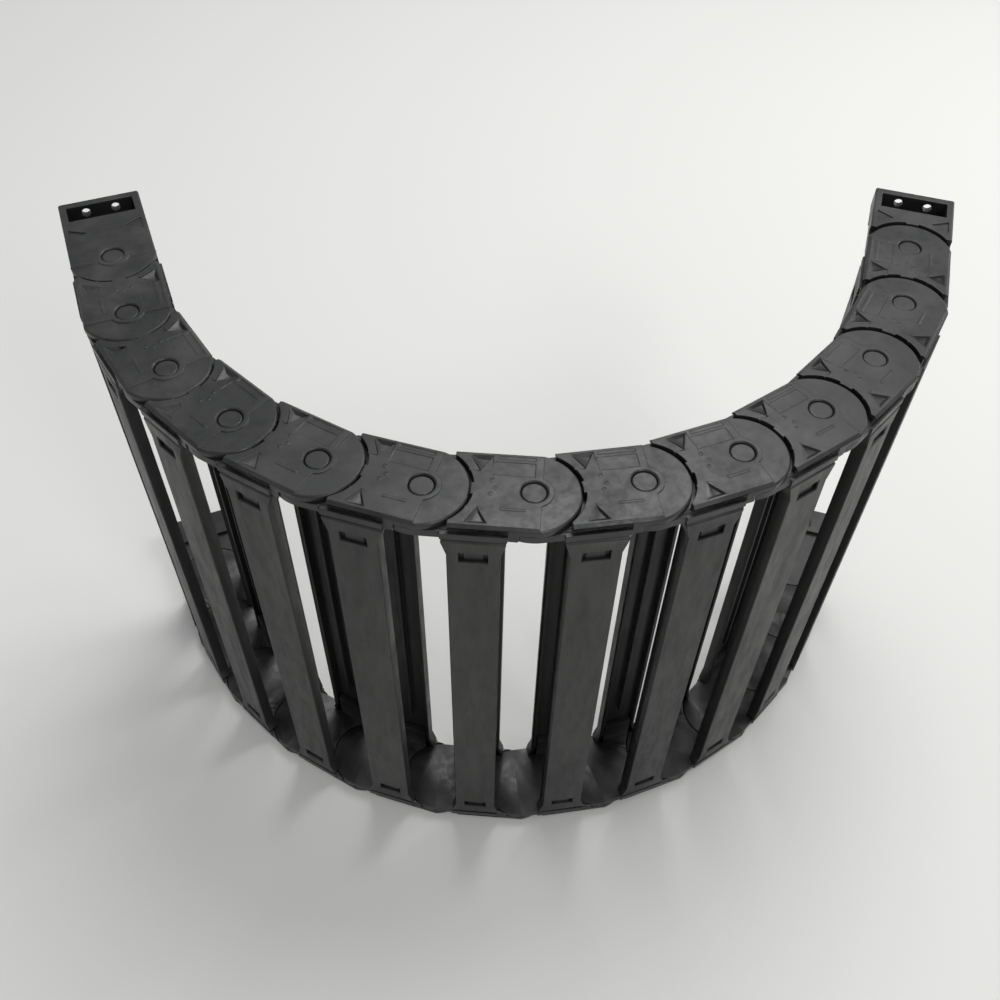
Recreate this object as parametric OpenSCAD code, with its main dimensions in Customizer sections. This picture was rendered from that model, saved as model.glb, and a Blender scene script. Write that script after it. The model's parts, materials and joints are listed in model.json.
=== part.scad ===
// Cable drag chain: two rows of interlocking side links joined by snap-in crossbars,
// with a mounting bracket at each end. The chain lies on its side, bent to its bend radius.

/* [Chain] */
// Distance from one joint pin to the next
pitch = 67; // [60:1:90]
// Height of the side links, across the chain
link_h = 60; // [50:1:72]
// Width over both rows of side links
chain_w = 400; // [200:10:600]
// Radius of the circle through the pins when every joint is at its stop
bend_radius = 300; // [250:10:600]

/* [Side links] */
// Thickness of a side link where both of its layers meet
plate_t = 11.5; // [10:0.5:14]
// Thickness of the outer layer, which carries the bored end
outer_t = 5.6; // [5:0.1:6.5]
// Gap between the outer layer of one link and the tongue of the next
layer_gap = 0.3; // [0.2:0.1:0.5]
// How far the round end's centre lies behind the pin, which flattens the end
end_shift = 2; // [1:0.5:4]
// How far the round end's tip stays short of half the link's height
end_inset = 1; // [0.5:0.5:3]
// Gap between a round end and the hollow edge of the next link
arc_gap = 2.2; // [1.5:0.1:3]
// Gap between a tongue and the hollow edge of the inner layer
tongue_gap = 0.8; // [0.5:0.1:1.5]
// Distance from the rear pin to the square corners beside the hollow edge
corner_x = 18; // [16:0.5:20]
// Width of the nose in the middle of the hollow edge
nose_w = 9; // [6:0.5:12]
// Gap between the nose and the round end
nose_gap = 0.5; // [0.3:0.1:1]
// Width of the bevels along the outer long edges
edge_bevel = 1.5; // [0.5:0.1:2]
// Distance past the pin at which the face of the round end is set back
step_x = 5; // [3:0.5:7]

/* [Pins and stops] */
// Diameter of a joint pin
pin_d = 16; // [12:0.5:18]
// Gap all round between a pin and its bore
pin_clearance = 0.07; // [0.03:0.01:0.1]
// How far a pin's end lies below the outer face
pin_recess = 1; // [0.5:0.1:1.5]
// Bevel at the mouth of a bore and on the end of a pin
mouth_bevel = 0.9; // [0.5:0.1:1.2]
// Diameter of the raised ring round a bore
boss_d = 24; // [21:0.5:26]
// How far the face of the round end is set back from the link's face
face_step = 0.8; // [0.4:0.1:1]
// Inner radius of the stop cams
cam_r1 = 14; // [13:0.5:16]
// Outer radius of the stop cams
cam_r2 = 22; // [20:0.5:24]
// Angle that one stop cam covers
cam_angle = 34; // [24:1:40]
// Height of the stop cams on the tongue
cam_h = 1.8; // [1.2:0.1:2]
// Play of a cam in its pocket, over its end face
cam_play = 0.4; // [0.3:0.1:0.6]
// Play of a cam in its pocket at each stop, in degrees
stop_play = 0.5; // [0.3:0.1:1]

/* [Crossbars] */
// Width of a crossbar
bar_w = 32; // [28:0.5:34]
// Width of a crossbar's flared ends
bar_end_w = 40; // [36:0.5:42]
// Length of the flare
flare_l = 14; // [8:1:20]
// Depth of a crossbar, from its face into the chain
bar_d = 9; // [7:0.5:11]
// Thickness of a crossbar's face
bar_face_t = 3; // [2:0.1:3.5]
// Thickness of a crossbar's long walls
bar_wall_t = 2.5; // [1.5:0.1:3]
// How far a crossbar stands out of the link's edge
bar_proud = 1.4; // [0.8:0.1:2]
// Gap between a crossbar's end and the side link
bar_end_gap = 1; // [0.6:0.1:1.5]
// Width of the latch window in a crossbar
window_w = 18; // [14:0.5:20]
// Height of the latch window
window_h = 9.4; // [7:0.2:12]
// Distance from a crossbar's end to its window
window_from_end = 11; // [8:0.5:14]
// Width of the bevels along a crossbar's outer edges
bar_bevel = 0.8; // [0.4:0.1:1.2]
// Thickness of the web along the middle of a crossbar
web_t = 2; // [1:0.1:3]
// How far the web stops short of the crossbar's back
web_play = 1.5; // [0.5:0.1:3]

/* [Lugs] */
// Play between a lug and each long wall of the crossbar
lug_side_play = 1.5; // [0.3:0.1:2]
// Distance that a lug reaches into a crossbar
lug_l = 23; // [20:0.5:30]
// Play between a lug and the back of the crossbar's face
lug_play = 0.15; // [0.1:0.05:0.3]
// How far a lug stops short of the crossbar's back
lug_back_play = 0.5; // [0.3:0.1:1]
// Play between a latch nub and each side of its window
nub_play = 2.5; // [1:0.1:3]
// Play between a latch nub and the end of its window that holds it
nub_end_play = 0.5; // [0.2:0.1:0.8]
// Height of the latch nub
nub_h = 6; // [4:0.2:7]
// How far the nub's face lies below the crossbar's face
nub_recess = 1; // [0.5:0.1:2]
// Thickness of the seat block over a crossbar's end
seat_t = 5; // [3:0.5:5]
// Height of the groove beside the seat block
groove_h = 3; // [1:0.5:4]
// Depth of that groove in the link's edge
groove_d = 1.5; // [0.5:0.1:2]

/* [Face details] */
// Length of the three-sided recesses along the link
recess_l = 14; // [10:0.5:14]
// Height of the three-sided recesses across the link
recess_h = 12.5; // [8:0.5:13]
// Distance from the square corner to a recess
recess_from_corner = 9; // [8:0.5:10]
// Distance from the link's edge to a recess
recess_rim = 3.5; // [2:0.1:4]
// Depth of a recess
recess_depth = 1.2; // [0.4:0.1:2]
// Distance from the recess to the blank label panel
panel_gap = 1; // [0.5:0.5:3]
// Width of the label panel
panel_w = 10.5; // [6:0.5:11]
// Distance from the link's edge to the label panel
panel_rim = 8; // [7:0.5:9]
// Depth of the label panel and of the strip beside it
panel_depth = 0.4; // [0.2:0.1:0.8]
// Width of the strip beside the label panel
strip_w = 2.6; // [1:0.1:3]
// Distance from the link's edge to the strip
strip_rim = 3.2; // [2.5:0.1:3.6]
// How far the strip starts after the panel
strip_shift = 2; // [0:0.5:4]
// Length of the raised mark
mark_l = 15; // [8:1:16]
// Width of the raised mark
mark_w = 1.7; // [0.8:0.1:2]
// Height of the raised mark
mark_h = 0.4; // [0.2:0.1:0.6]
// Distance from the label panel's start to the mark's start, along the link
mark_shift = 6; // [3:0.5:7]
// Distance from the link's middle to the mark
mark_y = 14.3; // [13:0.1:16]

/* [End brackets] */
// Distance from the first pin to the fixed end's mounting face
fixed_l = 75; // [70:1:90]
// Distance from the last pin to the moving end's mounting face
moving_l = 71; // [68:1:90]
// Thickness of a bracket round its nut pocket
bracket_t = 16; // [15:0.5:20]
// Thickness of a bracket's end wall
end_wall_t = 6; // [4:0.5:8]
// Thickness of the walls beside the nut pocket
side_wall_t = 5.5; // [4:0.5:8]
// Length of the nut pocket
pocket_l = 18; // [14:0.5:20]
// Depth of the nut pocket
pocket_d = 12; // [11:0.5:14]
// Diameter of the bolt holes
hole_d = 6.6; // [5.5:0.1:8.4]
// Distance between the bolt holes of one bracket
hole_spacing = 22; // [18:0.5:26]
// Depth of the bolt holes below the outer face
hole_depth = 6.5; // [6:0.5:8]
// Radius of the grooves in the pocket's floor, in line with the holes
pocket_groove_r = 4; // [2:0.5:4]

/* [Hidden] */
$fn = 96;
eps = 0.01;

links = 12;
joints = links + 1;
stop_angle = 2 * asin(pitch / 2 / bend_radius);
// The first and last joints lie straight and all the others rest on their stops
at_stop = [for (k = [1:joints]) k == 1 || k == joints ? 0 : 1];

z_top = chain_w / 2;
half_h = link_h / 2;
end_reach = half_h - end_inset;
end_r = end_reach + end_shift;
tongue_r = half_h;
arc_r = end_reach + arc_gap;
inner_arc_r = tongue_r + tongue_gap;
nose_r = end_reach + nose_gap;
inner_t = plate_t - outer_t;
tongue_t = inner_t - layer_gap;
pin_r = pin_d / 2;
bore_r = pin_r + pin_clearance;
// Leg of the cone that bevels the round ends
end_bevel = edge_bevel / 2;

bar_x = pitch / 2;
bar_y = half_h + bar_proud;
bar_z = z_top - plate_t - bar_end_gap;
seat_w = bar_end_w;
lug_w = bar_w - 2 * bar_wall_t - 2 * lug_side_play;
lug_y = bar_y - bar_face_t - lug_play;
lug_d = bar_d - bar_face_t - lug_play - lug_back_play;
nub_w = window_w - 2 * nub_play;

recess_x = corner_x + recess_from_corner;
panel_x = recess_x + recess_l + panel_gap;

function total(list, last) = last < 1 ? 0 : list[last - 1] + total(list, last - 1);
// Heading of link k, where link 0 is the fixed bracket and the last is the moving bracket
function heading(k) = -90 + stop_angle * total(at_stop, k);
function joint_xy(k) =
    k == 1 ? [0, -fixed_l]
           : joint_xy(k - 1) + pitch * [cos(heading(k - 1)), sin(heading(k - 1))];
function two_digits(k) = str(k < 10 ? "0" : "", k);
function link_node(k, piece) = str("link_", two_digits(k), "_", piece);

module at_joint(k, link) translate([joint_xy(k).x, joint_xy(k).y, 0]) rotate(heading(link)) children();

module upper_or_lower(lower) mirror([0, 0, lower ? 1 : 0]) children();

// ---- Layers of a side link. Rear pin at the origin, chain along +X, inside of the bend at +Y ----

// Stretch of the link's full height, between two stations
module strip(x1, x2, z, t) translate([x1, -half_h, z]) cube([x2 - x1, link_h, t]);

module disc(x, r, z, t) translate([x, 0, z]) cylinder(r = r, h = t);

module wedge_ring(r1, r2, angle, middle, z, t)
    translate([0, 0, z])
        rotate(middle - angle / 2)
            rotate_extrude(angle = angle)
                translate([r1, 0]) square([r2 - r1, t]);

// Bored round end of the outer layer, from x_from to past the pin at x_pin
module bored_layer(x_from, x_pin) {
    z = z_top - outer_t;
    difference() {
        intersection() {
            strip(x_from, x_pin + end_reach, z, outer_t);
            union() {
                strip(x_from, x_pin, z, outer_t);
                disc(x_pin - end_shift, end_r, z, outer_t - end_bevel);
                translate([x_pin - end_shift, 0, z_top - end_bevel])
                    cylinder(r1 = end_r, r2 = end_r - end_bevel, h = end_bevel);
            }
        }
        // Face of the round end, set back outside the boss
        difference() {
            translate([x_pin + step_x, -link_h, z_top - face_step]) cube([link_h, 2 * link_h, outer_t]);
            disc(x_pin, boss_d / 2, z_top - outer_t, 2 * outer_t);
        }
        disc(x_pin, bore_r, z - outer_t, 3 * outer_t);
        translate([x_pin, 0, z_top - mouth_bevel])
            cylinder(r1 = bore_r, r2 = bore_r + mouth_bevel + eps, h = mouth_bevel + eps);
        // Pockets in which the next link's cams run from straight to the stop
        for (side = [90, 270])
            translate([x_pin, 0, 0])
                wedge_ring(cam_r1 - cam_play, cam_r2 + cam_play, cam_angle + stop_angle + 2 * stop_play,
                    side + stop_angle / 2, z - eps, cam_h - layer_gap + cam_play + eps);
    }
}

// Tongue of the inner layer with its pin and stop cams, from its round end to x_to
module tongue_layer(x_to) {
    z = z_top - plate_t;
    face = z + tongue_t;
    disc(0, tongue_r, z, tongue_t);
    strip(0, x_to, z, tongue_t);
    difference() {
        strip(0, x_to, z, inner_t);
        disc(0, arc_r, z - eps, inner_t + 1);
    }
    disc(0, pin_r, face - eps, z_top - pin_recess - mouth_bevel - face + eps);
    translate([0, 0, z_top - pin_recess - mouth_bevel])
        cylinder(r1 = pin_r, r2 = pin_r - mouth_bevel, h = mouth_bevel);
    for (side = [90, 270])
        wedge_ring(cam_r1, cam_r2, cam_angle, side, face - eps, cam_h + eps);
}

// What the round end of the link before leaves free in the outer layer
module hollow_edge() {
    difference() {
        disc(0, arc_r, 0, z_top + 1);
        translate([0, -nose_w / 2, -1]) cube([arc_r + 1, nose_w, z_top + 3]);
    }
    disc(0, nose_r, 0, z_top + 1);
}

// Bevels along both long edges of the outer face
module edge_bevels(x1, x2)
    for (side = [-1, 1])
        translate([x1, side * half_h, z_top])
            rotate([45, 0, 0])
                translate([0, -edge_bevel / 2, -edge_bevel / 2])
                    cube([x2 - x1, edge_bevel, edge_bevel]);

// Three-sided recess in the outer face beside the hollow edge
module corner_recess(side) {
    base_y = half_h - recess_rim;
    translate([recess_x, 0, z_top - recess_depth])
        linear_extrude(recess_depth + 1)
            polygon([[0, side * base_y], [recess_l, side * base_y], [recess_l / 2, side * (base_y - recess_h)]]);
}

// Sunk panel of the outer face, from x_from to the pin's station
module sunk_panel(x_from, rim, w)
    translate([x_from, half_h - rim - w, z_top - panel_depth]) cube([pitch - x_from, w, 1]);

module face_details() {
    for (side = [-1, 1]) corner_recess(side);
    // Blank label panel and the strip beside it
    sunk_panel(panel_x, panel_rim, panel_w);
    sunk_panel(panel_x + strip_shift, strip_rim, strip_w);
}

// ---- Lugs that carry the crossbars ----

module lug(side) {
    mirror([0, side < 0 ? 1 : 0, 0]) {
        translate([bar_x - lug_w / 2, lug_y - lug_d, z_top - plate_t - bar_end_gap - lug_l])
            cube([lug_w, lug_d, lug_l + bar_end_gap + eps]);
        translate([bar_x - nub_w / 2, lug_y - eps, bar_z - window_from_end - nub_end_play - nub_h])
            cube([nub_w, bar_face_t + lug_play - nub_recess + eps, nub_h]);
        // Seat block over the crossbar's end
        translate([bar_x - seat_w / 2, half_h - groove_d, z_top - plate_t])
            cube([seat_w, groove_d + bar_proud, seat_t]);
    }
}

module lug_slot(side)
    mirror([0, side < 0 ? 1 : 0, 0])
        translate([bar_x - seat_w / 2, half_h - groove_d, z_top - plate_t + seat_t])
            cube([seat_w, groove_d + 1, groove_h]);

module link_side() {
    difference() {
        union() {
            difference() {
                bored_layer(corner_x, pitch);
                hollow_edge();
            }
            difference() {
                tongue_layer(pitch);
                disc(pitch, inner_arc_r, z_top - plate_t - 1, plate_t + 2);
            }
        }
        edge_bevels(corner_x - 1, pitch + step_x);
        face_details();
        for (side = [-1, 1]) lug_slot(side);
    }
    for (side = [-1, 1]) lug(side);
    // Raised mark in the outer face
    translate([panel_x + mark_shift, -mark_y - mark_w, z_top - eps]) cube([mark_l, mark_w, mark_h]);
}

// ---- Crossbars ----

module bar_outline(w, w_end, over)
    polygon([for (turn = [1, -1]) each [
        [turn * w_end / 2, turn * -(bar_z + over)],
        [turn * w / 2, turn * -(bar_z - flare_l)],
        [turn * w / 2, turn * (bar_z - flare_l)],
        [turn * w_end / 2, turn * (bar_z + over)]
    ]]);

module crossbar() {
    web_l = 2 * (bar_z - 2 * lug_l);
    translate([bar_x, bar_y, 0])
        rotate([90, 0, 0])
            difference() {
                linear_extrude(bar_d) bar_outline(bar_w, bar_end_w, 0);
                difference() {
                    translate([0, 0, bar_face_t])
                        linear_extrude(bar_d)
                            bar_outline(bar_w - 2 * bar_wall_t, bar_end_w - 2 * bar_wall_t, 1);
                    // Web along the middle, between the lugs
                    translate([-web_t / 2, -web_l / 2, 0]) cube([web_t, web_l, bar_d - web_play]);
                }
                for (side = [-1, 1])
                    translate([0, side * (bar_z - window_from_end - window_h / 2), 0])
                        cube([window_w, window_h, 3 * bar_face_t], center = true);
                for (side = [-1, 1])
                    translate([side * bar_w / 2, 0, 0])
                        rotate([0, 45, 0])
                            cube([bar_bevel, 2 * (bar_z - flare_l), bar_bevel], center = true);
            }
}

// ---- End brackets ----

// Block with a nut pocket, from the mounting face at x_end back towards the chain
module end_block(x_end, along) {
    x_in = x_end - along * (end_wall_t + pocket_l + side_wall_t);
    x_low = min(x_end, x_in);
    strip(x_low, x_low + abs(x_end - x_in), z_top - bracket_t, bracket_t);
}

module end_block_cuts(x_end, along) {
    x_wall = x_end - along * end_wall_t;
    x_back = x_wall - along * pocket_l;
    translate([min(x_wall, x_back), -half_h + side_wall_t, z_top - pocket_d])
        cube([pocket_l, link_h - 2 * side_wall_t, pocket_d + 1]);
    for (side = [-1, 1]) {
        translate([x_end - along * end_wall_t / 2, side * hole_spacing / 2, z_top - hole_depth])
            rotate([0, 90, 0])
                cylinder(d = hole_d, h = end_wall_t + 2, center = true);
        // Rounded groove in the pocket's floor, in line with the hole
        translate([min(x_wall, x_back), side * hole_spacing / 2, z_top - pocket_d])
            rotate([0, 90, 0])
                cylinder(r = pocket_groove_r, h = pocket_l);
    }
}

module fixed_bracket() {
    difference() {
        union() {
            bored_layer(-fixed_l, 0);
            difference() {
                strip(-fixed_l, 0, z_top - plate_t, inner_t);
                disc(0, inner_arc_r, z_top - plate_t - 1, plate_t + 2);
            }
            end_block(-fixed_l, -1);
        }
        end_block_cuts(-fixed_l, -1);
        edge_bevels(-fixed_l, step_x);
        translate([-pitch, 0, 0]) for (side = [-1, 1]) corner_recess(side);
    }
}

module moving_bracket() {
    difference() {
        union() {
            difference() {
                strip(corner_x, moving_l, z_top - outer_t, outer_t);
                hollow_edge();
            }
            tongue_layer(moving_l);
            end_block(moving_l, 1);
        }
        end_block_cuts(moving_l, 1);
        edge_bevels(corner_x - 1, moving_l);
        for (side = [-1, 1]) corner_recess(side);
    }
}

module fixed_bracket_node(lower) color("#33353a") at_joint(1, 0) upper_or_lower(lower) fixed_bracket();
module moving_bracket_node(lower)
    color("#33353a") at_joint(joints, joints) upper_or_lower(lower) moving_bracket();
module link_side_node(k, lower) color("#3a3b3f") at_joint(k, k) upper_or_lower(lower) link_side();
module outer_bar_node(k) color("#2e3034") at_joint(k, k) mirror([0, 1, 0]) crossbar();
module inner_bar_node(k) color("#2e3034") at_joint(k, k) crossbar();

fixed_bracket_node(false);  // fixed_bracket_upper
fixed_bracket_node(true);  // fixed_bracket_lower
for (k = [1:links]) {
    link_side_node(k, false);
    link_side_node(k, true);
    outer_bar_node(k);
    inner_bar_node(k);
}
moving_bracket_node(false);  // moving_bracket_upper
moving_bracket_node(true);  // moving_bracket_lower
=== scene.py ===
"""Looks of the cable drag chain: black moulded nylon on a pale studio floor."""

import json
import logging
import math
from dataclasses import dataclass, field
from enum import Enum

import bpy
from mathutils import Matrix, Vector
from mathutils.geometry import intersect_line_line

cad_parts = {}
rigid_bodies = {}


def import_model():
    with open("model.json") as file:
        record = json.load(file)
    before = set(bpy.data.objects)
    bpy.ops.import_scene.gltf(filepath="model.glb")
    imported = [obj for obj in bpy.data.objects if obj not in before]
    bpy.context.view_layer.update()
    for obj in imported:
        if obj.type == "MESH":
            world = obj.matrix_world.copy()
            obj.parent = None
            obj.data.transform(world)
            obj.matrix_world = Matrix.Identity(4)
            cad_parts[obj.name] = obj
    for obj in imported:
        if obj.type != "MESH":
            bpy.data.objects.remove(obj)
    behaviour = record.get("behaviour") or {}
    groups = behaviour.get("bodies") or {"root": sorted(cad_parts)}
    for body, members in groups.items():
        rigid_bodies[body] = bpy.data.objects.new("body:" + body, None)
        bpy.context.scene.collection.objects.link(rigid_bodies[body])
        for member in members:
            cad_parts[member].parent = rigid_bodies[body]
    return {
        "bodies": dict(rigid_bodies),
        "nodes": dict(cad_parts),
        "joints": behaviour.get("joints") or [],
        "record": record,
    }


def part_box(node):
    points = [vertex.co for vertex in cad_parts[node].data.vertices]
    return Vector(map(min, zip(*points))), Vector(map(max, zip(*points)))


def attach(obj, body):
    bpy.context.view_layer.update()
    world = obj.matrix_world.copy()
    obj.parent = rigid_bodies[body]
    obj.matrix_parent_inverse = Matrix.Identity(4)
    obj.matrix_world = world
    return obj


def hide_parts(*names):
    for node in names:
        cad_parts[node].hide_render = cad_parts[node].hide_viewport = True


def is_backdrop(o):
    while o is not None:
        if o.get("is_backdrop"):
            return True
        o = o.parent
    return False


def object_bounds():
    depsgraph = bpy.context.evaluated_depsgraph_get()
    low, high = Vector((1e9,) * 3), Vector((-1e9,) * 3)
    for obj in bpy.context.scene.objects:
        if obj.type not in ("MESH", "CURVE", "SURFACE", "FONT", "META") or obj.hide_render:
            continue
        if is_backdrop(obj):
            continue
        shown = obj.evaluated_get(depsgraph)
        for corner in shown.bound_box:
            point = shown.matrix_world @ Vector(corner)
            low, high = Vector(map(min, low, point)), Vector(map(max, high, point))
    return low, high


Colour = tuple[float, float, float]
Triple = tuple[float, float, float]
Socket = bpy.types.NodeSocket

MM = 0.001
WELD_DISTANCE = 0.002 * MM
FLAT_ANGLE = math.radians(0.4)
SHARP_ANGLE = math.radians(32.0)
SMOOTH_ANGLE = math.radians(40.0)
BEVEL_STEPS = 2
CORNER_STEPS = 5

log = logging.getLogger("drag_chain")


class Row(Enum):
    """The two rows of side links."""

    UPPER = "upper"
    LOWER = "lower"


class BarPlace(Enum):
    """Where a crossbar lies on its link: on the outside or the inside of the bend."""

    OUTER = "outer_bar"
    INNER = "inner_bar"


# ---- Building shader nodes ----


class NodeBench:
    """Adds and links shader nodes in one node tree, from left to right."""

    STEP = 190

    def __init__(self, tree: bpy.types.NodeTree) -> None:
        """Starts on a node tree.

        Args:
            tree: The material's or group's node tree.
        """
        self.tree = tree
        self.column = 0

    def add(self, kind: str, **settings: object) -> bpy.types.Node:
        """Adds a node.

        Args:
            kind: The node's Blender type.
            settings: Properties to set on the node.

        Returns:
            The new node.
        """
        node = self.tree.nodes.new(kind)
        for name, value in settings.items():
            setattr(node, name, value)
        node.location = (self.column * self.STEP, 0)
        self.column += 1
        return node

    def feed(self, socket: Socket, value: object) -> None:
        """Links an output to an input socket, or sets the input's own value.

        Args:
            socket: The input socket.
            value: An output socket, a number or a tuple.
        """
        if isinstance(value, bpy.types.NodeSocket):
            self.tree.links.new(value, socket)
        else:
            socket.default_value = value

    def maths(self, operation: str, a: object, b: object = 0.0, clamp: bool = False) -> Socket:
        """Works out one sum.

        Args:
            operation: The Math node's operation.
            a: First number or socket.
            b: Second number or socket.
            clamp: Whether the result is kept between 0 and 1.

        Returns:
            The result's socket.
        """
        node = self.add("ShaderNodeMath", operation=operation, use_clamp=clamp)
        self.feed(node.inputs[0], a)
        self.feed(node.inputs[1], b)
        return node.outputs[0]

    def noise(self, place: Socket, scale: object, detail: float, roughness: float = 0.5) -> Socket:
        """Adds a noise pattern.

        Args:
            place: Coordinates.
            scale: Number of features in a metre.
            detail: Number of octaves.
            roughness: Strength of the finer octaves.

        Returns:
            The pattern's value socket.
        """
        node = self.add("ShaderNodeTexNoise", noise_dimensions="3D")
        self.feed(node.inputs["Vector"], place)
        self.feed(node.inputs["Scale"], scale)
        self.feed(node.inputs["Detail"], detail)
        self.feed(node.inputs["Roughness"], roughness)
        return node.outputs["Fac"]

    def ramp(self, value: Socket, low: float, high: float) -> Socket:
        """Stretches part of a range to 0..1, with soft ends.

        Args:
            value: The value.
            low: What becomes 0.
            high: What becomes 1.

        Returns:
            The stretched value's socket.
        """
        node = self.add("ShaderNodeMapRange", interpolation_type="SMOOTHSTEP")
        self.feed(node.inputs["Value"], value)
        self.feed(node.inputs["From Min"], low)
        self.feed(node.inputs["From Max"], high)
        return node.outputs["Result"]

    def mix(self, amount: object, a: object, b: object) -> Socket:
        """Mixes two colours.

        Args:
            amount: How much of the second one.
            a: First colour.
            b: Second colour.

        Returns:
            The mixed colour's socket.
        """
        node = self.add("ShaderNodeMix", data_type="RGBA")
        self.feed(node.inputs["Factor"], amount)
        self.feed(node.inputs[6], a)
        self.feed(node.inputs[7], b)
        return node.outputs[2]


def new_group(
    name: str, inputs: dict[str, str], outputs: dict[str, str]
) -> tuple[NodeBench, bpy.types.Node, bpy.types.Node]:
    """Makes an empty shader node group.

    Args:
        name: The group's name.
        inputs: Socket types by name.
        outputs: Socket types by name.

    Returns:
        The bench, the group's input node and its output node.
    """
    tree = bpy.data.node_groups.new(name, "ShaderNodeTree")
    for in_out, sockets in (("INPUT", inputs), ("OUTPUT", outputs)):
        for socket_name, kind in sockets.items():
            tree.interface.new_socket(name=socket_name, in_out=in_out, socket_type=kind)
    bench = NodeBench(tree)
    start = bench.add("NodeGroupInput")
    end = tree.nodes.new("NodeGroupOutput")
    return bench, start, end


FLOAT = "NodeSocketFloat"
COLOUR = "NodeSocketColor"
VECTOR = "NodeSocketVector"


def build_rubbed_and_highlit_edges() -> bpy.types.NodeTree:
    """Makes the group that rounds edges and paints them lighter, partly as rubbed wear and partly as
    painted highlight on the bevels.

    Returns:
        The group.
    """
    bench, start, end = new_group(
        "rubbed_and_highlit_edges",
        {"Place": VECTOR, "Colour": COLOUR, "Rub and highlight colour": COLOUR, "Radius": FLOAT, "Amount": FLOAT},
        {"Colour": COLOUR, "Mask": FLOAT, "Normal": VECTOR},
    )
    rounded = bench.add("ShaderNodeBevel", samples=6)
    bench.feed(rounded.inputs["Radius"], start.outputs["Radius"])
    flat = bench.add("ShaderNodeNewGeometry")
    turn = bench.add("ShaderNodeVectorMath", operation="DOT_PRODUCT")
    bench.feed(turn.inputs[0], rounded.outputs["Normal"])
    bench.feed(turn.inputs[1], flat.outputs["True Normal"])
    bent = bench.maths("SUBTRACT", 1.0, turn.outputs["Value"], clamp=True)
    # Edge mask: lighter edges, partly real rubbed wear and partly a painted highlight standing in for
    # glints on the bevels.
    edge = bench.ramp(bent, low=0.015, high=0.22)
    blotches = bench.noise(start.outputs["Place"], scale=90.0, detail=4.0, roughness=0.6)
    patches = bench.ramp(blotches, low=0.36, high=0.66)
    mask = bench.maths("MULTIPLY", edge, patches)
    mask = bench.maths("MULTIPLY", mask, start.outputs["Amount"], clamp=True)
    colour = bench.mix(mask, start.outputs["Colour"], start.outputs["Rub and highlight colour"])
    bench.feed(end.inputs["Colour"], colour)
    bench.feed(end.inputs["Mask"], mask)
    bench.feed(end.inputs["Normal"], rounded.outputs["Normal"])
    return bench.tree


def build_dust() -> bpy.types.NodeTree:
    """Makes the group that lays a thin, patchy film of dust on faces that look up.

    Returns:
        The group.
    """
    bench, start, end = new_group(
        "dust_film",
        {"Place": VECTOR, "Colour": COLOUR, "Dust colour": COLOUR, "Amount": FLOAT},
        {"Colour": COLOUR, "Mask": FLOAT},
    )
    face = bench.add("ShaderNodeNewGeometry")
    parts = bench.add("ShaderNodeSeparateXYZ")
    bench.feed(parts.inputs[0], face.outputs["Normal"])
    upward = bench.ramp(parts.outputs["Z"], low=-0.4, high=0.9)
    upward = bench.maths("MAXIMUM", upward, 0.35)
    coarse = bench.noise(start.outputs["Place"], scale=22.0, detail=5.0, roughness=0.62)
    clouds = bench.ramp(coarse, low=0.40, high=0.72)
    fine = bench.noise(start.outputs["Place"], scale=900.0, detail=2.0, roughness=0.5)
    specks = bench.ramp(fine, low=0.62, high=0.74)
    specks = bench.maths("MULTIPLY", specks, 0.6)
    film = bench.maths("ADD", clouds, specks, clamp=True)
    mask = bench.maths("MULTIPLY", film, upward)
    mask = bench.maths("MULTIPLY", mask, start.outputs["Amount"], clamp=True)
    bench.feed(end.inputs["Colour"], bench.mix(mask, start.outputs["Colour"], start.outputs["Dust colour"]))
    bench.feed(end.inputs["Mask"], mask)
    return bench.tree


def build_grain() -> bpy.types.NodeTree:
    """Makes the group for the fine grain and the flow marks of a moulded face.

    Returns:
        The group.
    """
    bench, start, end = new_group(
        "moulded_grain",
        {"Place": VECTOR, "Roughness": FLOAT, "Spread": FLOAT},
        {"Height": FLOAT, "Roughness": FLOAT},
    )
    fine = bench.noise(start.outputs["Place"], scale=1500.0, detail=2.0, roughness=0.5)
    flow = bench.noise(start.outputs["Place"], scale=45.0, detail=4.0, roughness=0.55)
    scuffs = bench.noise(start.outputs["Place"], scale=160.0, detail=5.0, roughness=0.7)
    rubbed = bench.ramp(scuffs, low=0.35, high=0.7)
    swing = bench.maths("ADD", bench.maths("SUBTRACT", flow, 0.5), bench.maths("MULTIPLY", rubbed, 0.5))
    swing = bench.maths("MULTIPLY", swing, start.outputs["Spread"])
    bench.feed(end.inputs["Roughness"], bench.maths("ADD", start.outputs["Roughness"], swing, clamp=True))
    height = bench.maths("ADD", bench.maths("MULTIPLY", fine, 0.6), bench.maths("MULTIPLY", flow, 1.2))
    bench.feed(end.inputs["Height"], height)
    return bench.tree


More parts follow.
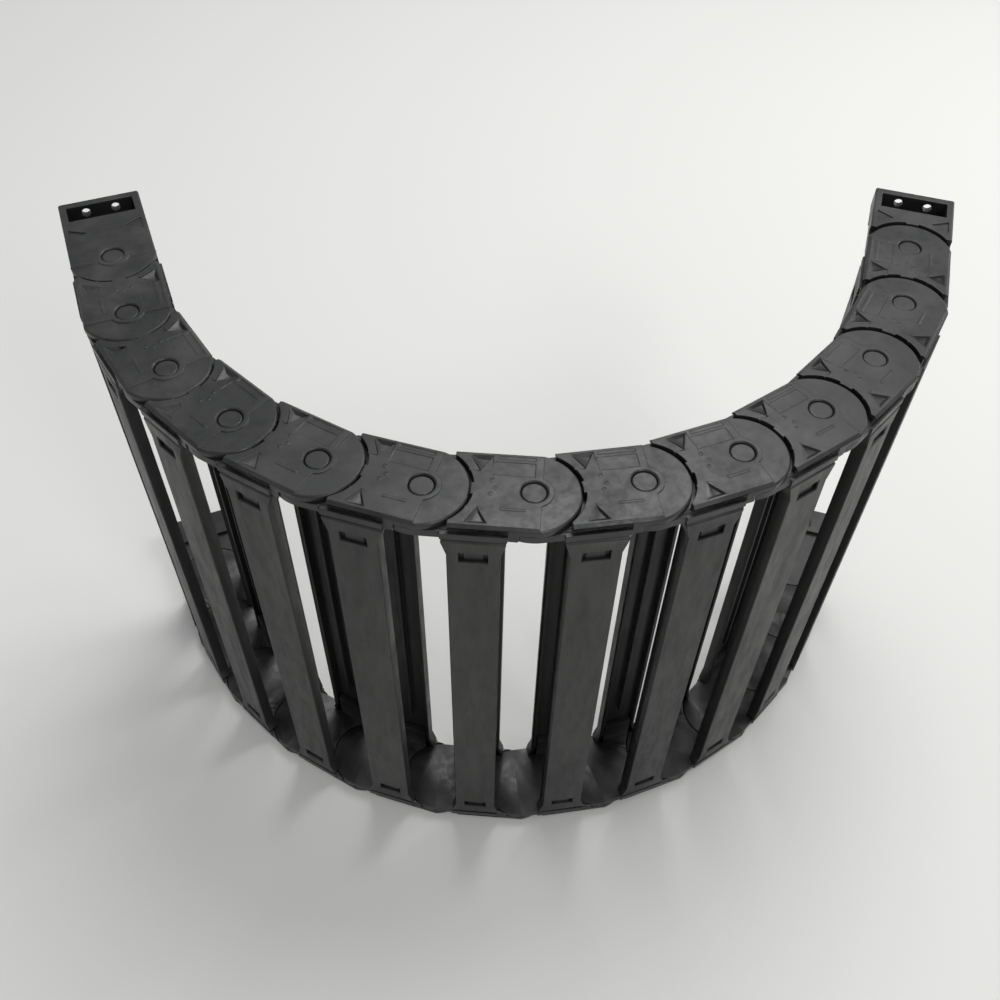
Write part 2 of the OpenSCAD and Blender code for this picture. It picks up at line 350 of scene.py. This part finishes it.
@dataclass(frozen=True)
class NylonFinish:
    """Satin black nylon as it comes from the mould, handled and a little dusty, with its edges painted
    lighter as wear and as painted highlight.
    """

    name: str
    base: Colour = (0.0075, 0.0078, 0.0086)
    tint: Colour = (0.0150, 0.0152, 0.0160)
    # Colour of the edges: rubbed nylon, made lighter to paint in the highlights on the bevels.
    edge_rub_and_highlight: Colour = (0.12, 0.12, 0.122)
    dust: Colour = (0.15, 0.145, 0.135)
    roughness: float = 0.36
    roughness_spread: float = 0.30
    edge_rub_and_highlight_amount: float = 0.75
    rounded_edge_radius: float = 0.7 * MM
    dust_amount: float = 0.20
    grain_depth: float = 0.05 * MM
    stretch: Triple = (1.0, 1.0, 1.0)

    def material(self, groups: dict[str, bpy.types.NodeTree]) -> bpy.types.Material:
        """Builds the material from the shared groups.

        Args:
            groups: The shared node groups by name.

        Returns:
            The material.
        """
        made = bpy.data.materials.new(self.name)
        made.use_nodes = True
        tree = made.node_tree
        tree.nodes.clear()
        bench = NodeBench(tree)
        where = bench.add("ShaderNodeTexCoord")
        mapped = bench.add("ShaderNodeMapping")
        bench.feed(mapped.inputs["Vector"], where.outputs["Object"])
        mapped.inputs["Scale"].default_value = self.stretch
        place = mapped.outputs["Vector"]

        clouds = bench.ramp(bench.noise(place, scale=14.0, detail=4.0, roughness=0.6), 0.3, 0.7)
        colour = bench.mix(clouds, (*self.base, 1.0), (*self.tint, 1.0))
        dusty = self._group(bench, groups["dust_film"], {
            "Place": place, "Colour": colour, "Dust colour": (*self.dust, 1.0), "Amount": self.dust_amount,
        })
        edge_rub_and_highlight = self._group(bench, groups["rubbed_and_highlit_edges"], {
            "Place": place, "Colour": dusty.outputs["Colour"], "Rub and highlight colour": (*self.edge_rub_and_highlight, 1.0),
            "Radius": self.rounded_edge_radius, "Amount": self.edge_rub_and_highlight_amount,
        })
        grain = self._group(bench, groups["moulded_grain"], {
            "Place": place, "Roughness": self.roughness, "Spread": self.roughness_spread,
        })
        relief = bench.add("ShaderNodeBump")
        relief.inputs["Distance"].default_value = self.grain_depth
        bench.feed(relief.inputs["Height"], grain.outputs["Height"])
        bench.feed(relief.inputs["Normal"], edge_rub_and_highlight.outputs["Normal"])
        shader = bench.add("ShaderNodeBsdfPrincipled")
        bench.feed(shader.inputs["Base Color"], edge_rub_and_highlight.outputs["Colour"])
        bench.feed(shader.inputs["Roughness"], grain.outputs["Roughness"])
        bench.feed(shader.inputs["Normal"], relief.outputs["Normal"])
        shader.inputs["IOR"].default_value = 1.5
        out = bench.add("ShaderNodeOutputMaterial")
        bench.feed(out.inputs["Surface"], shader.outputs["BSDF"])
        return made

    @staticmethod
    def _group(bench: NodeBench, tree: bpy.types.NodeTree, values: dict[str, object]) -> bpy.types.Node:
        """Places a shared group and feeds its inputs.

        Args:
            bench: The material's bench.
            tree: The shared group.
            values: Sockets or values by input name.

        Returns:
            The group node.
        """
        node = bench.add("ShaderNodeGroup", node_tree=tree)
        for name, value in values.items():
            bench.feed(node.inputs[name], value)
        return node


# ---- Shaping ----


@dataclass(frozen=True)
class Box:
    """An upright box between two corners, in metres."""

    low: Vector
    high: Vector


class Shaper:
    """Shapes one mesh object with Blender's own tools."""

    def __init__(self, shown: bpy.types.Object) -> None:
        """Starts on an object.

        Args:
            shown: The object to shape.
        """
        self.shown = shown

    @classmethod
    def copy_of(cls, source: bpy.types.Object, name: str, place: Matrix) -> "Shaper":
        """Copies a CAD node's mesh, joins its loose triangles and takes away their inner edges.

        Args:
            source: The CAD node's object, which stays as it is.
            name: Name of the copy.
            place: Where the copy's mesh goes.

        Returns:
            The shaper of the copy.
        """
        mesh = source.data.copy()
        mesh.name = name
        mesh.transform(place)
        made = bpy.data.objects.new(name, mesh)
        bpy.context.scene.collection.objects.link(made)
        shaper = cls(made)
        shaper.select()
        if mesh.has_custom_normals:
            bpy.ops.mesh.customdata_custom_splitnormals_clear()
        bpy.ops.object.mode_set(mode="EDIT")
        bpy.ops.mesh.select_all(action="SELECT")
        bpy.ops.mesh.remove_doubles(threshold=WELD_DISTANCE)
        bpy.ops.mesh.dissolve_limited(angle_limit=FLAT_ANGLE)
        bpy.ops.object.mode_set(mode="OBJECT")
        return shaper

    @classmethod
    def block(cls, name: str, box: Box) -> "Shaper":
        """Makes a block that cuts or fills.

        Args:
            name: Name of the block.
            box: Where it lies.

        Returns:
            The shaper of the block.
        """
        bpy.ops.object.select_all(action="DESELECT")
        bpy.ops.mesh.primitive_cube_add(size=1.0, location=(box.low + box.high) / 2)
        made = bpy.context.active_object
        made.name = name
        made.scale = box.high - box.low
        bpy.ops.object.transform_apply(location=True, rotation=True, scale=True)
        return cls(made)

    def select(self) -> None:
        """Makes this the only selected object, and the active one."""
        bpy.ops.object.select_all(action="DESELECT")
        self.shown.select_set(True)
        bpy.context.view_layer.objects.active = self.shown

    def apply(self, kind: str, **settings: object) -> None:
        """Adds a modifier and applies it.

        Args:
            kind: The modifier's type.
            settings: Its properties.
        """
        self.select()
        modifier = self.shown.modifiers.new(kind.lower(), kind)
        for name, value in settings.items():
            setattr(modifier, name, value)
        bpy.ops.object.modifier_apply(modifier=modifier.name)

    def turn_outward(self) -> None:
        """Makes all faces point outwards."""
        self.select()
        bpy.ops.object.mode_set(mode="EDIT")
        bpy.ops.mesh.select_all(action="SELECT")
        bpy.ops.mesh.normals_make_consistent(inside=False)
        bpy.ops.object.mode_set(mode="OBJECT")

    def cut(self, tool: "Shaper") -> None:
        """Cuts a tool's shape out and removes the tool."""
        self.apply("BOOLEAN", operation="DIFFERENCE", solver="EXACT", object=tool.shown)
        bpy.data.objects.remove(tool.shown)

    def join(self, added: "Shaper") -> None:
        """Fuses another shape on and removes its object."""
        self.apply("BOOLEAN", operation="UNION", solver="EXACT", object=added.shown)
        bpy.data.objects.remove(added.shown)

    def soften(self, width: float) -> None:
        """Rounds the sharp edges a little and shades the curved faces smooth.

        Args:
            width: Width of the rounding.
        """
        self.apply(
            "BEVEL",
            width=width,
            segments=BEVEL_STEPS,
            limit_method="ANGLE",
            angle_limit=SHARP_ANGLE,
            use_clamp_overlap=False,
        )
        self.apply("TRIANGULATE", ngon_method="BEAUTY")
        self.select()
        bpy.ops.object.shade_smooth_by_angle(angle=SMOOTH_ANGLE)
        self.apply("WEIGHTED_NORMAL", keep_sharp=True, weight=100)

    def placed(self, name: str, place: Matrix) -> bpy.types.Object:
        """Copies the shape with its own mesh to a place.

        Args:
            name: Name of the copy.
            place: Its place, which may mirror it.

        Returns:
            The copy, with its object at the origin.
        """
        mesh = self.shown.data.copy()
        mesh.name = name
        mesh.transform(place)
        if place.to_3x3().determinant() < 0:
            mesh.flip_normals()
        made = bpy.data.objects.new(name, mesh)
        bpy.context.scene.collection.objects.link(made)
        return made


# ---- Sub-assemblies ----


@dataclass
class Chain:
    """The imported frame: its nodes, its links' places and its main sizes."""

    frame: dict

    @property
    def links(self) -> list[str]:
        """The bodies of the links, in order from the fixed end."""
        return sorted(body for body in self.frame["bodies"] if body.startswith("link_"))

    @property
    def top(self) -> float:
        """Height of the upper row's outer face."""
        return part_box("fixed_bracket_upper")[1].z

    @property
    def half_height(self) -> float:
        """Half of the side links' height across the chain."""
        low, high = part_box("fixed_bracket_upper")
        return (high.x - low.x) / 2

    @property
    def bar_face(self) -> float:
        """Distance from the middle of a link to a crossbar's outer face."""
        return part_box("link_01_inner_bar")[1].x

    @property
    def bar_end(self) -> float:
        """Height at which a crossbar ends."""
        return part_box("link_01_inner_bar")[1].z

    def place(self, number: int) -> Matrix:
        """Gives a link's own frame: its rear pin at the origin and the chain along +X.

        Args:
            number: The link's number, from 1 at the fixed end.

        Returns:
            The matrix from the link's frame to the row's.
        """
        pins = {joint["name"]: Vector(joint["pos_m"]) for joint in self.frame["joints"]}
        rear = pins[f"joint_{number:02d}"]
        front = pins[f"joint_{number + 1:02d}"]
        heading = math.atan2(front.y - rear.y, front.x - rear.x)
        return Matrix.Translation((rear.x, rear.y, 0)) @ Matrix.Rotation(heading, 4, "Z")

    @property
    def pitch(self) -> float:
        """Distance from one pin to the next."""
        return (self.place(2).translation - self.place(1).translation).length

    def show(
        self, piece: bpy.types.Object, body: str, node: str, slot: str, finish: bpy.types.Material
    ) -> None:
        """Puts a finished piece in the place of its CAD node.

        Args:
            piece: The finished piece.
            body: The body it rides on.
            node: The CAD node it stands for.
            slot: The record's material slot; not used.
            finish: Its material.
        """
        piece.data.materials.clear()
        piece.data.materials.append(finish)
        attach(piece, body)
        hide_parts(node)
        log.info("%s stands for %s, %d faces", piece.name, node, len(piece.data.polygons))


def mirrored(axis: str) -> Matrix:
    """Mirrors across the plane through the origin square to an axis.

    Args:
        axis: X, Y or Z.

    Returns:
        The mirror matrix.
    """
    return Matrix.Scale(-1, 4, Vector([float(name == axis) for name in "XYZ"]))


@dataclass
class SideLinks:
    """The two rows of interlocking side links."""

    chain: Chain
    finish: NylonFinish = field(default_factory=lambda: NylonFinish("side_link_nylon"))
    rounding: float = 0.28 * MM
    window_width: float = 18 * MM
    window_height: float = 9.4 * MM
    window_from_end: float = 11 * MM
    bar_face_thickness: float = 3 * MM
    nub_side_play: float = 3 * MM
    nub_end_play: float = 0.2 * MM
    nub_recess: float = 2.2 * MM
    recess_start: float = 27 * MM
    recess_length: float = 14 * MM
    recess_height: float = 12.5 * MM
    recess_rim: float = 3.5 * MM
    recess_depth: float = 1.8 * MM
    # Widths of the recess's sloping walls: along the edge, towards the round end, towards the rear pin
    recess_slopes: Triple = (2.2 * MM, 0.7 * MM, 3.0 * MM)
    edge_bevel: float = 2.0 * MM
    # Distance from the rear pin to the square corners
    corner_start: float = 18 * MM
    # Distance past the front pin at which the round end's face is set back
    end_start: float = 5 * MM
    # The round end's centre lies this far behind the front pin
    end_shift: float = 2 * MM
    end_radius: float = 31 * MM
    seat_width: float = 40 * MM
    # Distance from the outer face down to the seat block
    seat_top: float = 6.5 * MM
    groove_depth: float = 2.0 * MM
    # What is left between the groove and the bevel above it
    groove_lip: float = 0.3 * MM
    # How far a cutter reaches past what it cuts
    spare: float = 0.1 * MM
    dot_radius: float = 1.2 * MM
    dot_height: float = 0.22 * MM
    # Places of the dots in the link's frame, in millimetres
    dots: tuple[tuple[float, float], ...] = ((41.5, -3.7), (44.0, 1.0), (41.5, 7.0))

    def build(self, groups: dict[str, bpy.types.NodeTree]) -> None:
        """Shapes one side link and places it along both rows.

        Args:
            groups: The shared node groups.
        """
        material = self.finish.material(groups)
        master = self.model()
        for number, link in enumerate(self.chain.links, 1):
            for row in Row:
                place = self.chain.place(number)
                if row is Row.LOWER:
                    place = place @ mirrored("Z")
                piece = master.placed(f"side_plate_{number:02d}_{row.value}", place)
                self.chain.show(piece, link, f"{link}_{row.value}", "side_link", material)
        bpy.data.objects.remove(master.shown)

    def model(self) -> Shaper:
        """Shapes the side link in its own frame.

        Returns:
            The shaper of the finished link.
        """
        node = self.chain.frame["nodes"]["link_01_upper"]
        link = Shaper.copy_of(node, "side_link_master", self.chain.place(1).inverted())
        self.widen_bevels(link)
        for side in (-1, 1):
            self.reshape_nub(link, side)
            self.slope_recess(link, side)
            self.widen_groove(link, side)
        self.add_dots(link)
        link.soften(self.rounding)
        return link

    def reshape_nub(self, link: Shaper, side: int) -> None:
        """Cuts off the plain nub and fits one that fills its window from end to end.

        Args:
            link: The side link.
            side: 1 on the inside of the bend, -1 on the outside.
        """
        middle = self.chain.pitch / 2
        face = self.chain.bar_face
        floor = face - self.bar_face_thickness
        top = self.chain.bar_end - self.window_from_end
        half = self.window_width / 2
        window_low = Vector((middle - half, floor, top - self.window_height))
        old = (window_low, Vector((middle + half, face, top)))
        link.cut(Shaper.block("nub_cutter", self._sided(old, side)))
        half -= self.nub_side_play
        root = floor - self.bar_face_thickness / 2
        new = (
            Vector((middle - half, root, top - self.window_height + self.nub_end_play)),
            Vector((middle + half, face - self.nub_recess, top - self.nub_end_play)),
        )
        link.join(Shaper.block("nub", self._sided(new, side)))

    @staticmethod
    def _sided(corners: tuple[Vector, Vector], side: int) -> Box:
        """Turns a box on the inner side into one on the given side."""
        low, high = corners
        if side > 0:
            return Box(low, high)
        return Box(Vector((low.x, -high.y, low.z)), Vector((high.x, -low.y, high.z)))

    def slope_recess(self, link: Shaper, side: int) -> None:
        """Fills the three-sided recess and cuts it again with sloping walls.

        Args:
            link: The side link.
            side: 1 on the inside of the bend, -1 on the outside.
        """
        top = self.chain.top
        base = self.chain.half_height - self.recess_rim
        apex = base - self.recess_height
        start = Vector((self.recess_start, apex - self.spare, top - 2 * self.recess_depth))
        end = Vector((self.recess_start + self.recess_length, base + self.spare, top))
        link.join(Shaper.block("recess_filler", self._sided((start, end), side)))
        rim = [
            Vector((self.recess_start, base)),
            Vector((self.recess_start + self.recess_length, base)),
            Vector((self.recess_start + self.recess_length / 2, apex)),
        ]
        floor = self._inset(rim, self.recess_slopes)
        bpy.ops.object.select_all(action="DESELECT")
        bpy.ops.mesh.primitive_cone_add(vertices=3, radius1=1, radius2=1, depth=2 * self.recess_depth)
        tool = bpy.context.active_object
        around = sorted(tool.data.vertices, key=lambda v: (math.atan2(v.co.y, v.co.x), v.co.z))
        for i, vertex in enumerate(around):
            rise = vertex.co.z
            low, high = floor[i // 2], rim[i // 2]
            place = low if rise < 0 else high + (high - low)
            vertex.co = (place.x, side * place.y, top + rise)
        shaper = Shaper(tool)
        shaper.turn_outward()
        link.cut(shaper)

    @staticmethod
    def _inset(rim: list[Vector], steps: tuple[float, float, float]) -> list[Vector]:
        """Moves the three sides of a triangle inwards, each by its own step.

        Args:
            rim: The triangle's corners.
            steps: The step of each side, from its first corner on.

        Returns:
            The smaller triangle's corners.
        """
        heart = sum(rim, Vector((0, 0))) / 3
        moved = []
        for i, step in enumerate(steps):
            a, b = rim[i], rim[(i + 1) % 3]
            inward = Vector((a.y - b.y, b.x - a.x)).normalized()
            if inward.dot(heart - a) < 0:
                inward.negate()
            moved.append((a + inward * step, b + inward * step))
        corners = []
        for i in range(3):
            (a, b), (c, d) = moved[i - 1], moved[i]
            meeting = intersect_line_line(a.to_3d(), b.to_3d(), c.to_3d(), d.to_3d())
            corners.append(meeting[0].to_2d())
        return corners

    def widen_bevels(self, link: Shaper) -> None:
        """Cuts the broad bevels along the outer face's long edges and round the round end.

        Args:
            link: The side link.
        """
        top, half, pitch = self.chain.top, self.chain.half_height, self.chain.pitch
        side_length = self.edge_bevel * math.sqrt(2)
        span = (self.corner_start - self.spare, pitch + self.end_start)
        for side in (-1, 1):
            bpy.ops.object.select_all(action="DESELECT")
            bpy.ops.mesh.primitive_cube_add(
                size=1, location=(sum(span) / 2, side * half, top), rotation=(math.radians(45), 0, 0)
            )
            tool = bpy.context.active_object
            tool.scale = (span[1] - span[0], side_length, side_length)
            bpy.ops.object.transform_apply(location=True, rotation=True, scale=True)
            link.cut(Shaper(tool))
        link.cut(self.end_ring())

    def end_ring(self) -> Shaper:
        """Makes the ring that cuts the bevel of the round end.

        Returns:
            The ring's shaper.
        """
        top = self.chain.top
        middle = (self.chain.pitch - self.end_shift, 0, top)
        depth = 2 * self.edge_bevel
        bpy.ops.object.select_all(action="DESELECT")
        bpy.ops.mesh.primitive_cylinder_add(
            vertices=96, radius=self.end_radius + depth, depth=depth - self.spare, location=middle
        )
        bpy.ops.object.transform_apply(location=True, rotation=True, scale=True)
        ring = Shaper(bpy.context.active_object)
        bpy.ops.object.select_all(action="DESELECT")
        bpy.ops.mesh.primitive_cone_add(
            vertices=96, radius1=self.end_radius + self.spare, radius2=self.end_radius - depth, depth=depth,
            location=middle,
        )
        bpy.ops.object.transform_apply(location=True, rotation=True, scale=True)
        ring.cut(Shaper(bpy.context.active_object))
        reach = self.end_radius + 2 * depth
        low = Vector((self.chain.pitch - 2 * reach, -reach, top - depth))
        high = Vector((self.chain.pitch + self.end_start - self.spare, reach, top + depth))
        ring.cut(Shaper.block("ring_trimmer", Box(low, high)))
        return ring

    def widen_groove(self, link: Shaper, side: int) -> None:
        """Cuts the groove between the seat block and the outer face's bevel.

        Args:
            link: The side link.
            side: 1 on the inside of the bend, -1 on the outside.
        """
        middle, half, top = self.chain.pitch / 2, self.chain.half_height, self.chain.top
        lip = top - self.edge_bevel - self.groove_lip
        low = Vector((middle - self.seat_width / 2, half - self.groove_depth, top - self.seat_top))
        high = Vector((middle + self.seat_width / 2, half + self.groove_depth, lip))
        link.cut(Shaper.block("groove_cutter", self._sided((low, high), side)))

    def add_dots(self, link: Shaper) -> None:
        """Adds the small round dots in the outer face.

        Args:
            link: The side link.
        """
        for x, y in self.dots:
            bpy.ops.object.select_all(action="DESELECT")
            bpy.ops.mesh.primitive_cylinder_add(
                vertices=20, radius=self.dot_radius, depth=2 * self.dot_height,
                location=(x * MM, y * MM, self.chain.top),
            )
            bpy.ops.object.transform_apply(location=True, rotation=True, scale=True)
            link.join(Shaper(bpy.context.active_object))


@dataclass
class Crossbars:
    """The snap-in crossbars between the rows."""

    chain: Chain
    finish: NylonFinish = field(default_factory=lambda: NylonFinish(
        "crossbar_nylon",
        tint=(0.0205, 0.0198, 0.0192),
        roughness=0.42,
        dust_amount=0.20,
        stretch=(1.0, 1.0, 0.22),
    ))
    rounding: float = 0.22 * MM
    corner_radius: float = 2.6 * MM
    end_width: float = 40 * MM

    def build(self, groups: dict[str, bpy.types.NodeTree]) -> None:
        """Shapes one crossbar and places it on both sides of every link.

        Args:
            groups: The shared node groups.
        """
        material = self.finish.material(groups)
        master = self.model()
        for number, link in enumerate(self.chain.links, 1):
            for bar in BarPlace:
                place = self.chain.place(number)
                if bar is BarPlace.OUTER:
                    place = place @ mirrored("Y")
                piece = master.placed(f"{bar.value}_{number:02d}", place)
                self.chain.show(piece, link, f"{link}_{bar.value}", "crossbar", material)
        bpy.data.objects.remove(master.shown)

    def model(self) -> Shaper:
        """Shapes the inner crossbar in its link's frame.

        Returns:
            The shaper of the finished crossbar.
        """
        node = self.chain.frame["nodes"]["link_01_inner_bar"]
        bar = Shaper.copy_of(node, "crossbar_master", self.chain.place(1).inverted())
        self.round_corners(bar)
        bar.soften(self.rounding)
        return bar

    def round_corners(self, bar: Shaper) -> None:
        """Rounds the four corners of the flared ends.

        Args:
            bar: The crossbar.
        """
        bar.select()
        bpy.ops.object.mode_set(mode="EDIT")
        bpy.ops.mesh.select_all(action="DESELECT")
        bpy.ops.object.mode_set(mode="OBJECT")
        middle = self.chain.pitch / 2
        near = 0.05 * MM
        points = bar.shown.data.vertices
        for edge in bar.shown.data.edges:
            ends = [points[i].co for i in edge.vertices]
            edge.select = all(
                abs(abs(end.x - middle) - self.end_width / 2) < near
                and abs(abs(end.z) - self.chain.bar_end) < near
                for end in ends
            )
        bpy.ops.object.mode_set(mode="EDIT")
        bpy.ops.mesh.select_mode(type="EDGE")
        bpy.ops.mesh.bevel(offset=self.corner_radius, segments=CORNER_STEPS)
        bpy.ops.object.mode_set(mode="OBJECT")


@dataclass
class EndBrackets:
    """The four bolted brackets at the chain's ends."""

    chain: Chain
    finish: NylonFinish = field(default_factory=lambda: NylonFinish("bracket_nylon", edge_rub_and_highlight_amount=0.7))
    rounding: float = 0.4 * MM

    def build(self, groups: dict[str, bpy.types.NodeTree]) -> None:
        """Softens and dresses every end bracket.

        Args:
            groups: The shared node groups.
        """
        material = self.finish.material(groups)
        for end in ("fixed", "moving"):
            for row in Row:
                node = f"{end}_bracket_{row.value}"
                source = self.chain.frame["nodes"][node]
                bracket = Shaper.copy_of(source, f"{end}_end_{row.value}", Matrix.Identity(4))
                bracket.soften(self.rounding)
                self.chain.show(bracket.shown, f"{end}_end", node, "bracket", material)


# ---- Studio ----


@dataclass(frozen=True)
class Lamp:
    """A soft area lamp that looks at the middle of the object."""

    name: str
    offset: Triple
    size: float
    power: float
    colour: Colour = (1.0, 1.0, 1.0)

    def build(self, middle: Vector) -> None:
        """Hangs the lamp.

        Args:
            middle: The middle of the object.
        """
        data = bpy.data.lights.new(self.name, "AREA")
        data.shape = "DISK"
        data.size = self.size
        data.energy = self.power
        data.color = self.colour
        lamp = bpy.data.objects.new(self.name, data)
        bpy.context.scene.collection.objects.link(lamp)
        lamp.location = middle + Vector(self.offset)
        lamp.rotation_mode = "QUATERNION"
        lamp.rotation_quaternion = (-Vector(self.offset)).to_track_quat("-Z", "Y")


@dataclass
class Studio:
    """Pale floor, soft light and the camera."""

    low: Vector
    high: Vector
    floor_colour: Colour = (0.79, 0.785, 0.765)
    floor_half: float = 12.0
    sky_colour: Colour = (0.97, 0.985, 1.0)
    sky_strength: float = 0.46
    lens: float = 38.0
    heading: float = 22.5
    tilt: float = 49.9
    roll: float = 1.3
    stand: Triple = (-0.2694, -0.5392, 0.6732)
    lamps: tuple[Lamp, ...] = (
        Lamp("ceiling_lamp", (0.8, 0.9, 2.6), 1.6, 38.0),
        Lamp("window_lamp", (2.2, 0.2, 1.2), 1.0, 14.0, (1.0, 0.99, 0.97)),
        Lamp("front_lamp", (0.3, -2.3, 2.2), 0.9, 17.0),
    )

    @property
    def middle(self) -> Vector:
        """The middle of the object's box."""
        return (self.low + self.high) / 2

    def build(self) -> None:
        """Builds the floor, the light and the camera."""
        self.lay_floor()
        self.light_up()
        self.place_camera()

    def lay_floor(self) -> None:
        """Lays the floor under the object."""
        bpy.ops.object.select_all(action="DESELECT")
        bpy.ops.mesh.primitive_plane_add(size=2 * self.floor_half, location=(0, 0, self.low.z))
        floor = bpy.context.active_object
        floor.name = "studio_floor"
        bpy.ops.object.transform_apply(location=True, rotation=True, scale=True)
        material = bpy.data.materials.new("floor_paint")
        material.use_nodes = True
        shader = material.node_tree.nodes["Principled BSDF"]
        shader.inputs["Base Color"].default_value = (*self.floor_colour, 1.0)
        shader.inputs["Roughness"].default_value = 0.75
        floor.data.materials.append(material)
        floor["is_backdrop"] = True
        log.info("laid the floor at %.4f m", self.low.z)

    def light_up(self) -> None:
        """Sets the sky and hangs the lamps."""
        world = bpy.data.worlds.new("studio_sky")
        bpy.context.scene.world = world
        world.use_nodes = True
        bench = NodeBench(world.node_tree)
        world.node_tree.nodes.clear()
        ray = bench.add("ShaderNodeLightPath")
        light = bench.add("ShaderNodeBackground")
        light.inputs["Color"].default_value = (*self.sky_colour, 1.0)
        light.inputs["Strength"].default_value = self.sky_strength
        seen = bench.add("ShaderNodeBackground")
        seen.inputs["Color"].default_value = (*self.floor_colour, 1.0)
        both = bench.add("ShaderNodeMixShader")
        bench.feed(both.inputs[0], ray.outputs["Is Camera Ray"])
        bench.feed(both.inputs[1], light.outputs[0])
        bench.feed(both.inputs[2], seen.outputs[0])
        out = bench.add("ShaderNodeOutputWorld")
        bench.feed(out.inputs["Surface"], both.outputs[0])
        for lamp in self.lamps:
            lamp.build(self.middle)

    def place_camera(self) -> None:
        """Places the camera, looking down along the chain's bend."""
        data = bpy.data.cameras.new("camera")
        data.lens = self.lens
        data.sensor_width = 36.0
        camera = bpy.data.objects.new("camera", data)
        bpy.context.scene.collection.objects.link(camera)
        turn = (
            Matrix.Rotation(-math.radians(self.heading), 4, "Z")
            @ Matrix.Rotation(math.radians(90 - self.tilt), 4, "X")
            @ Matrix.Rotation(math.radians(self.roll), 4, "Z")
        )
        camera.matrix_world = Matrix.Translation(self.middle + Vector(self.stand)) @ turn
        bpy.context.scene.camera = camera


def main() -> None:
    """Builds the sub-assemblies and the studio in order."""
    logging.basicConfig(level=logging.INFO, format="%(name)s: %(message)s")
    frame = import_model()
    cad_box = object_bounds()
    chain = Chain(frame)
    groups = {tree.name: tree for tree in (build_rubbed_and_highlit_edges(), build_dust(), build_grain())}
    SideLinks(chain).build(groups)
    Crossbars(chain).build(groups)
    EndBrackets(chain).build(groups)
    Studio(*cad_box).build()
    bpy.context.scene.view_settings.view_transform = "Standard"


if __name__ == "__main__":
    main()
